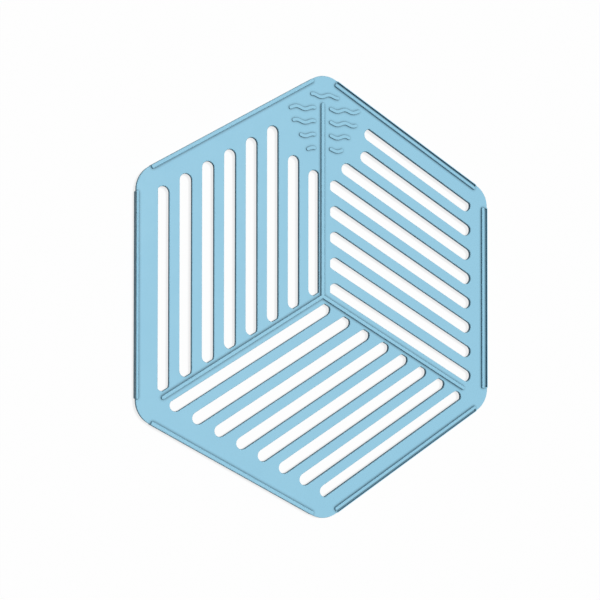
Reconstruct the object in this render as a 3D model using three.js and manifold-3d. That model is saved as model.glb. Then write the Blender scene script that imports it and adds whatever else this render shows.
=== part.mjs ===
// Urinal deodorizer screen, moulded in one piece.
// A six-sided sheet with rounded corners, three fields of long slots, three ribs that meet
// at the middle and a bar along each of the six edges.
// Millimetres. The screen lies on its back, front face up (+Z), one corner toward +Y.

import * as THREE from 'three';
import { mergeVertices } from 'three/addons/utils/BufferGeometryUtils.js';
import Module from 'manifold-3d';

// Sheet
const acrossFlats = 173.8;
const cornerRadius = 11.5;
const sheetThickness = 1.8;
const sheetEdgeRound = 0.3;

// Ribs and bars stand out behind and in front of the sheet
const standOff = 1.5;
const ribRise = 0.8;

// Slots are counted outward from the rib that they run along
const slotPitch = 10;
const slotWidth = 5.4;
const firstSlotOffset = 5.25;
const slotToRib = 2.85;
const slotToEdge = 9.45;
const slotEndTrim = 0.4;

// Slots that stop short of the raised waves, or of a rib's outer end, in each field.
// Tops of the first slots, down from the corner's tip.
const shortTops = [[42.4, 36.5], [], []];
// Starts of the last slots, out from the rib.
const shortStarts = [[], [8.85, 18.5, 20.6], [3.65]];

// Ribs and the inner sides of the bars sit a little to the left of the slot pattern
const ribShift = 1.2;
const ribWidth = 1.6;
const ribToTip = 12.3;
const ribEdgeRound = 0.3;

// Bars along the edges, each with a raised strip on its inner side.
// Where the strip leaves room, a groove runs between it and a thin lip at the edge.
const barEndGap = 0.4;
const barProud = 0.1;
const barInset = 2.2;
const barCorner = 0.5;
const barEdgeRound = 0.35;
const stripWidth = 1.3;
const lipRise = 0.25;
const lipWidth = 0.3;
const grooveDepth = 0.7;
const grooveToStrip = 0.1;
const cutSpare = 1;

// Raised waves round the outer end of the upright rib
const waveRise = 0.45;
const waveWidth = 1.3;
const waveSwing = 0.55;
const waveLength = 8;
const waveGap = 4;
const waveStep = 1;
const waveRowPitch = 6;
const topWaveToTip = 9.1;
const topWaveReach = 6.5;
const waveReaches = [17, 15.5, 12, 8.5];

// Straight steps in each round stretch
const edgeSteps = 2;
const sheetCornerSteps = 10;
const slotEndSteps = 8;
const ribEndSteps = 8;
const barCornerSteps = 3;
const waveEndSteps = 4;

const colour = 0x98cce2;

const apothem = acrossFlats / 2;
const sheetFront = standOff + sheetThickness;
const ribTop = sheetFront + ribRise;
const waveTop = sheetFront + waveRise;
const barOuter = apothem + barProud;
const slotReach = apothem - slotToEdge;
const slotsPerField = 1 + Math.floor((slotReach - firstSlotOffset) / slotPitch);
const quarter = Math.PI / 2;
const sixth = Math.PI / 3;
const third = 2 * sixth;
const sin30 = Math.sin(sixth / 2);
const cos30 = Math.cos(sixth / 2);
const tan30 = Math.tan(sixth / 2);
const cornerCentre = (apothem - cornerRadius) / cos30;
const tip = cornerCentre + cornerRadius;
const barHalf = (apothem - cornerRadius) * tan30 - barEndGap;

const wasm = await Module();
wasm.setup();

// Point turned clockwise about the middle, as seen from the front
function turn(point, angle) {
  return point.clone().rotateAround(new THREE.Vector2(0, 0), -angle);
}

// Points along an arc, both ends included
function arcPoints(x, y, radius, from, to, steps) {
  const curve = new THREE.EllipseCurve(x, y, radius, radius, from, to, false, 0);
  return curve.getPoints(steps);
}

// Part of a convex outline that lies within a distance of the middle, along a normal
function trim(points, normal, limit) {
  const kept = [];
  points.forEach((point, i) => {
    const next = points[(i + 1) % points.length];
    const over = point.dot(normal) - limit;
    const nextOver = next.dot(normal) - limit;
    if (over <= 0) {
      kept.push(point);
    }
    if (over * nextOver < 0) {
      kept.push(point.clone().lerp(next, over / (over - nextOver)));
    }
  });
  return kept;
}

// Solid between two levels, its long edges rounded
function extrude(shape, bottom, top, round) {
  const geometry = new THREE.ExtrudeGeometry(shape, {
    depth: top - bottom - 2 * round,
    bevelEnabled: round > 0,
    bevelThickness: round,
    bevelSize: round,
    bevelOffset: -round,
    bevelSegments: edgeSteps,
  });
  geometry.translate(0, 0, bottom + round);
  geometry.deleteAttribute('normal');
  geometry.deleteAttribute('uv');
  const merged = mergeVertices(geometry);
  const vertProperties = new Float32Array(merged.attributes.position.array);
  const triVerts = new Uint32Array(merged.index.array);
  return new wasm.Manifold(new wasm.Mesh({ numProp: 3, vertProperties, triVerts }));
}

// Six-sided outline with rounded corners
function sheetOutline() {
  const points = [];
  for (let i = 0; i < 6; i += 1) {
    const middle = quarter + i * sixth;
    const x = cornerCentre * Math.cos(middle);
    const y = cornerCentre * Math.sin(middle);
    const from = middle - sixth / 2;
    points.push(...arcPoints(x, y, cornerRadius, from, from + sixth, sheetCornerSteps));
  }
  return points;
}

// One slot of the field left of the upright rib, with round ends.
// Trimmed straight beside the ribs and beside the edge.
function slotOutline(k, topGap, startGap) {
  const radius = slotWidth / 2;
  const x = -(firstSlotOffset + k * slotPitch);
  const low = x * tan30 + (slotToRib - slotEndTrim + radius) / cos30;
  const high = x * tan30 + (slotReach - radius) / cos30;
  const start = startGap ? x * tan30 + startGap / cos30 + radius : low;
  const end = topGap ? tip - topGap - radius : high;
  let points = [
    ...arcPoints(x, end, radius, 0, 2 * quarter, slotEndSteps),
    ...arcPoints(x, start, radius, 2 * quarter, 4 * quarter, slotEndSteps),
  ];
  points = trim(points, new THREE.Vector2(1, 0), -slotToRib);
  points = trim(points, new THREE.Vector2(-1, 0), slotReach);
  return trim(points, new THREE.Vector2(sin30, -cos30), -slotToRib);
}

// Sheet with its three fields of slots
function sheet() {
  const shape = new THREE.Shape(sheetOutline());
  for (let field = 0; field < 3; field += 1) {
    const firstShort = slotsPerField - shortStarts[field].length;
    for (let k = 0; k < slotsPerField; k += 1) {
      const outline = slotOutline(k, shortTops[field][k], shortStarts[field][k - firstShort]);
      shape.holes.push(new THREE.Path(outline.map((point) => turn(point, field * third))));
    }
  }
  return extrude(shape, standOff, sheetFront, sheetEdgeRound);
}

// Rib from the middle outward, round at both ends
function rib(i) {
  const radius = ribWidth / 2;
  const points = [
    ...arcPoints(0, tip - ribToTip - radius, radius, 0, 2 * quarter, ribEndSteps),
    ...arcPoints(0, 0, radius, 2 * quarter, 4 * quarter, ribEndSteps),
  ];
  const shift = new THREE.Vector2(-ribShift, 0);
  const outline = points.map((point) => turn(point, i * third).add(shift));
  return extrude(new THREE.Shape(outline), 0, ribTop, ribEdgeRound);
}

// Long block beside one edge, between two distances from the middle
function besideEdge(i, inner, outer, half, bottom, top, round) {
  const near = inner + barCorner;
  const far = outer - barCorner;
  const side = half - barCorner;
  const points = [
    ...arcPoints(side, far, barCorner, 0, quarter, barCornerSteps),
    ...arcPoints(-side, far, barCorner, quarter, 2 * quarter, barCornerSteps),
    ...arcPoints(-side, near, barCorner, 2 * quarter, 3 * quarter, barCornerSteps),
    ...arcPoints(side, near, barCorner, 3 * quarter, 4 * quarter, barCornerSteps),
  ];
  const outline = points.map((point) => turn(point, edgeAngle(i)));
  return extrude(new THREE.Shape(outline), bottom, top, round);
}

// Direction from the middle to one edge, clockwise from +Y
function edgeAngle(i) {
  return i * sixth + sixth / 2;
}

// Distance from the middle to a bar's inner side
function barInner(i) {
  return apothem - barInset - ribShift * Math.sin(edgeAngle(i));
}

function bar(i) {
  return besideEdge(i, barInner(i), barOuter, barHalf, 0, ribTop, barEdgeRound);
}

// What is cut away outside a bar's strip: down to the lip's top, and then the groove.
// Nothing where there is no room for a groove.
function recesses(i) {
  const stripOuter = barInner(i) + stripWidth;
  const grooveInner = stripOuter + grooveToStrip;
  const grooveOuter = barOuter - lipWidth;
  if (grooveOuter - grooveInner < 2 * barCorner) {
    return [];
  }
  const outside = barOuter + cutSpare;
  const above = ribTop + cutSpare;
  const lipTop = sheetFront + lipRise;
  const grooveBottom = sheetFront - grooveDepth;
  return [
    besideEdge(i, stripOuter, outside, barHalf + cutSpare, lipTop, above, 0),
    besideEdge(i, grooveInner, grooveOuter, barHalf - lipWidth, grooveBottom, above, 0),
  ];
}

// Middle of a wave at one x, and the direction that the wave has there
function waveAt(x, level) {
  const turns = (2 * Math.PI) / waveLength;
  return {
    middle: new THREE.Vector2(x, level + waveSwing * Math.sin(turns * x)),
    slope: Math.atan(waveSwing * turns * Math.cos(turns * x)),
  };
}

// Round end of a wave, from one side of it to the other
function waveEnd(x, level, from) {
  const { middle, slope } = waveAt(x, level);
  const start = slope + from;
  return arcPoints(middle.x, middle.y, waveWidth / 2, start, start + 2 * quarter, waveEndSteps);
}

// Raised wavy line from one x to another
function wave(from, to, level) {
  const steps = Math.ceil((to - from) / waveStep);
  const upper = [];
  const lower = [];
  for (let i = 1; i < steps; i += 1) {
    const { middle, slope } = waveAt(from + ((to - from) * i) / steps, level);
    const across = new THREE.Vector2(-Math.sin(slope), Math.cos(slope));
    across.multiplyScalar(waveWidth / 2);
    upper.unshift(middle.clone().add(across));
    lower.push(middle.clone().sub(across));
  }
  const right = waveEnd(to, level, -quarter);
  const left = waveEnd(from, level, quarter);
  const shape = new THREE.Shape([...lower, ...right, ...upper, ...left]);
  return extrude(shape, sheetFront - sheetThickness / 2, waveTop, 0);
}

// Rows of waves, parted by the upright rib
function waves() {
  let level = tip - topWaveToTip;
  const lines = [wave(-topWaveReach, topWaveReach, level)];
  for (const reach of waveReaches) {
    level -= waveRowPitch;
    lines.push(wave(-reach, -ribShift - waveGap, level));
    lines.push(wave(waveGap - ribShift, reach, level));
  }
  return lines;
}

function screenSolid() {
  let solid = sheet();
  for (let i = 0; i < 3; i += 1) {
    solid = solid.add(rib(i));
  }
  for (let i = 0; i < 6; i += 1) {
    solid = solid.add(bar(i));
  }
  for (const line of waves()) {
    solid = solid.add(line);
  }
  for (let i = 0; i < 6; i += 1) {
    for (const recess of recesses(i)) {
      solid = solid.subtract(recess);
    }
  }
  return solid;
}

function screenGeometry() {
  const mesh = screenSolid().getMesh();
  const geometry = new THREE.BufferGeometry();
  const positions = new Float32Array(mesh.vertProperties);
  geometry.setAttribute('position', new THREE.BufferAttribute(positions, 3));
  geometry.setIndex(new THREE.BufferAttribute(new Uint32Array(mesh.triVerts), 1));
  geometry.computeVertexNormals();
  return geometry;
}

const plastic = new THREE.MeshStandardMaterial({ color: colour, roughness: 0.55, metalness: 0 });

const screen = new THREE.Mesh(screenGeometry(), plastic);
screen.name = 'deodorizer_screen';

const group = new THREE.Group();
group.add(screen);

export default group;
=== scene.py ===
"""Looks, light and camera for the urinal deodorizer screen. Metres, +Z up."""

import math

import bmesh
import bpy
from mathutils import Euler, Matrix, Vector

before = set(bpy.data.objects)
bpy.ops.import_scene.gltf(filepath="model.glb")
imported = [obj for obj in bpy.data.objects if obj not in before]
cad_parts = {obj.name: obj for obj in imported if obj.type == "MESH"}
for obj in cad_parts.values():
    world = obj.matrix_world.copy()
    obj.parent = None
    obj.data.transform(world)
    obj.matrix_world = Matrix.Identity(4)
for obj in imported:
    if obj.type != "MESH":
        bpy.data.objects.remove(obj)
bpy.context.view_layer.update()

# Plastic. Colours are linear
PLASTIC_BLUE = (0.312, 0.614, 0.779, 1.0)
PLASTIC_BLUE_DEEP = (0.286, 0.575, 0.752, 1.0)
CLOUD_SCALE = 28.0
PLASTIC_IOR = 1.46
PLASTIC_SPECULAR = 0.25
ROUGHNESS = (0.46, 0.60)
ROUGHNESS_SCALE = 160.0
GRAIN_SCALE = 2600.0
GRAIN_STRENGTH = 0.12
GRAIN_HEIGHT = 0.00006

# Painted shade in the creases beside ribs and bars, darker where the surface is less open
CREASE_SHADE_REACH = 0.0014
CREASE_SHADE_SAMPLES = 16
CREASE_SHADE_OPENNESS = (0.72, 0.98)
CREASE_PAINTED_SHADE = (0.45, 1.0)

# Painted shade on the steep walls of slots, ribs and bars, darker where the surface is less
# level
WALL_SHADE_LEVELNESS = (0.30, 0.98)
WALL_PAINTED_SHADE = (0.72, 1.0)

# Camera
CAMERA_AT = (-0.22011, -0.00863, 0.44599)
CAMERA_TURN = (0.787, -25.162, 0.051)
CAMERA_LENS = 66.535
SENSOR_WIDTH = 36.0
CLIP_NEAR = 0.01
CLIP_FAR = 10.0

# Floor
WHITE = (1.0, 1.0, 1.0, 1.0)
FLOOR_GREY = (0.30, 0.30, 0.30, 1.0)
FLOOR_REACH = 1.5
FLOOR_DROP = 0.00004
FLOOR_SHOWN_WHITE = 0.82

# Light
ROOM_LIGHT = 0.10
KEY_STRENGTH = 2.70
KEY_SPREAD = 14.0
KEY_TURN = (-8.0, 8.0, 0.0)
KEY_HEIGHT = 1.0


class Nodes:
    """A material's or world's node tree, with short calls to add and join nodes."""

    def __init__(self, owner):
        owner.use_nodes = True
        self.tree = owner.node_tree
        self.tree.nodes.clear()

    def add(self, kind, **values):
        node = self.tree.nodes.new(kind)
        for name, value in values.items():
            if hasattr(node, name):
                setattr(node, name, value)
            else:
                node.inputs[name].default_value = value
        return node

    def join(self, source, target):
        self.tree.links.new(source, target)

    def noise(self, coordinates, scale, detail):
        node = self.add("ShaderNodeTexNoise", Scale=scale, Detail=detail)
        self.join(coordinates, node.inputs["Vector"])
        return node.outputs["Fac"]

    def remap(self, source, given, wanted):
        node = self.add("ShaderNodeMapRange")
        node.inputs["From Min"].default_value = given[0]
        node.inputs["From Max"].default_value = given[1]
        node.inputs["To Min"].default_value = wanted[0]
        node.inputs["To Max"].default_value = wanted[1]
        self.join(source, node.inputs["Value"])
        return node.outputs["Result"]

    def seen_directly(self):
        """1 for rays from the camera and for the mirror image or the view through a piece."""
        path = self.add("ShaderNodeLightPath")
        glossy = self.add("ShaderNodeMath", operation="MAXIMUM")
        self.join(path.outputs["Is Camera Ray"], glossy.inputs[0])
        self.join(path.outputs["Is Glossy Ray"], glossy.inputs[1])
        clear = self.add("ShaderNodeMath", operation="MAXIMUM")
        self.join(glossy.outputs[0], clear.inputs[0])
        self.join(path.outputs["Is Transmission Ray"], clear.inputs[1])
        return clear.outputs[0]


def painted_relief_shade(nodes):
    """Painted shade: darker in the creases and on the steep walls, 1 on the open level faces.
    """
    # Painted shade in creases: ambient occlusion darkens the colour where the surface is
    # hemmed in
    crease_openness = nodes.add("ShaderNodeAmbientOcclusion", samples=CREASE_SHADE_SAMPLES, only_local=True)
    crease_openness.inputs["Distance"].default_value = CREASE_SHADE_REACH
    # Painted shade on steep walls: the colour darkens as the surface tilts away from level
    facing = nodes.add("ShaderNodeSeparateXYZ")
    nodes.join(nodes.add("ShaderNodeTexCoord").outputs["Normal"], facing.inputs[0])
    level = nodes.add("ShaderNodeMath", operation="ABSOLUTE")
    nodes.join(facing.outputs["Z"], level.inputs[0])
    painted_shade = nodes.add("ShaderNodeMath", operation="MINIMUM")
    nodes.join(nodes.remap(crease_openness.outputs["AO"], CREASE_SHADE_OPENNESS, CREASE_PAINTED_SHADE), painted_shade.inputs[0])
    nodes.join(nodes.remap(level.outputs[0], WALL_SHADE_LEVELNESS, WALL_PAINTED_SHADE), painted_shade.inputs[1])
    return painted_shade.outputs[0]


def moulded_plastic():
    """Light blue plastic with a faint cloudy tint, the grain of the mould, and painted shade
    in creases and on steep walls.
    """
    material = bpy.data.materials.new("moulded_blue_plastic")
    nodes = Nodes(material)
    place = nodes.add("ShaderNodeTexCoord").outputs["Object"]
    shader = nodes.add("ShaderNodeBsdfPrincipled")
    shader.inputs["IOR"].default_value = PLASTIC_IOR
    shader.inputs["Specular IOR Level"].default_value = PLASTIC_SPECULAR

    cloud = nodes.noise(place, CLOUD_SCALE, 3.0)
    tint = nodes.add("ShaderNodeMix", data_type="RGBA")
    tint.inputs["A"].default_value = PLASTIC_BLUE
    tint.inputs["B"].default_value = PLASTIC_BLUE_DEEP
    nodes.join(cloud, tint.inputs["Factor"])
    # Painted shade: the tinted colour is multiplied by the darkening for creases and steep
    # walls
    shade = nodes.add("ShaderNodeMix", data_type="RGBA", blend_type="MULTIPLY")
    shade.inputs["Factor"].default_value = 1.0
    nodes.join(tint.outputs["Result"], shade.inputs["A"])
    nodes.join(painted_relief_shade(nodes), shade.inputs["B"])
    nodes.join(shade.outputs["Result"], shader.inputs["Base Color"])

    sheen = nodes.noise(place, ROUGHNESS_SCALE, 4.0)
    nodes.join(nodes.remap(sheen, (0.0, 1.0), ROUGHNESS), shader.inputs["Roughness"])

    grain = nodes.noise(place, GRAIN_SCALE, 2.0)
    bump = nodes.add("ShaderNodeBump", Strength=GRAIN_STRENGTH, Distance=GRAIN_HEIGHT)
    nodes.join(grain, bump.inputs["Height"])
    nodes.join(bump.outputs["Normal"], shader.inputs["Normal"])

    output = nodes.add("ShaderNodeOutputMaterial")
    nodes.join(shader.outputs["BSDF"], output.inputs["Surface"])
    return material


def studio_floor_material():
    """Pale floor that the camera sees as white, with the shadows that fall on it."""
    material = bpy.data.materials.new("studio_floor")
    nodes = Nodes(material)
    plain = nodes.add("ShaderNodeBsdfDiffuse", Color=FLOOR_GREY)
    lit = nodes.add("ShaderNodeBsdfDiffuse", Color=WHITE)
    white = nodes.add("ShaderNodeEmission", Color=WHITE, Strength=1.0)
    shown = nodes.add("ShaderNodeMixShader")
    shown.inputs[0].default_value = FLOOR_SHOWN_WHITE
    nodes.join(lit.outputs[0], shown.inputs[1])
    nodes.join(white.outputs[0], shown.inputs[2])
    choice = nodes.add("ShaderNodeMixShader")
    nodes.join(nodes.seen_directly(), choice.inputs[0])
    nodes.join(plain.outputs[0], choice.inputs[1])
    nodes.join(shown.outputs[0], choice.inputs[2])
    output = nodes.add("ShaderNodeOutputMaterial")
    nodes.join(choice.outputs[0], output.inputs["Surface"])
    return material


def studio_floor():
    mesh = bpy.data.meshes.new("studio_floor")
    shape = bmesh.new()
    bmesh.ops.create_grid(shape, x_segments=1, y_segments=1, size=FLOOR_REACH)
    bmesh.ops.translate(shape, verts=shape.verts, vec=Vector((0.0, 0.0, -FLOOR_DROP)))
    shape.to_mesh(mesh)
    shape.free()
    mesh.materials.append(studio_floor_material())
    floor = bpy.data.objects.new("studio_floor", mesh)
    bpy.context.scene.collection.objects.link(floor)


def room():
    """Soft light from all round, and a white surround behind the object."""
    world = bpy.data.worlds.new("room")
    nodes = Nodes(world)
    soft = nodes.add("ShaderNodeBackground", Color=WHITE, Strength=ROOM_LIGHT)
    white = nodes.add("ShaderNodeBackground", Color=WHITE, Strength=1.0)
    choice = nodes.add("ShaderNodeMixShader")
    nodes.join(nodes.seen_directly(), choice.inputs[0])
    nodes.join(soft.outputs[0], choice.inputs[1])
    nodes.join(white.outputs[0], choice.inputs[2])
    output = nodes.add("ShaderNodeOutputWorld")
    nodes.join(choice.outputs[0], output.inputs["Surface"])
    bpy.context.scene.world = world


def key_lamp():
    light = bpy.data.lights.new("key_lamp", "SUN")
    light.energy = KEY_STRENGTH
    light.angle = math.radians(KEY_SPREAD)
    lamp = bpy.data.objects.new("key_lamp", light)
    lamp.rotation_euler = Euler([math.radians(turn) for turn in KEY_TURN])
    lamp.location = (0.0, 0.0, KEY_HEIGHT)
    bpy.context.scene.collection.objects.link(lamp)


def camera():
    lens = bpy.data.cameras.new("camera")
    lens.lens = CAMERA_LENS
    lens.sensor_width = SENSOR_WIDTH
    lens.clip_start = CLIP_NEAR
    lens.clip_end = CLIP_FAR
    viewer = bpy.data.objects.new("camera", lens)
    viewer.location = CAMERA_AT
    viewer.rotation_euler = Euler([math.radians(turn) for turn in CAMERA_TURN])
    bpy.context.scene.collection.objects.link(viewer)
    bpy.context.scene.camera = viewer


def dress_screen():
    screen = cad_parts["deodorizer_screen"]
    screen.data.materials.clear()
    screen.data.materials.append(moulded_plastic())


dress_screen()
studio_floor()
room()
key_lamp()
camera()
bpy.context.scene.view_settings.view_transform = "Standard"
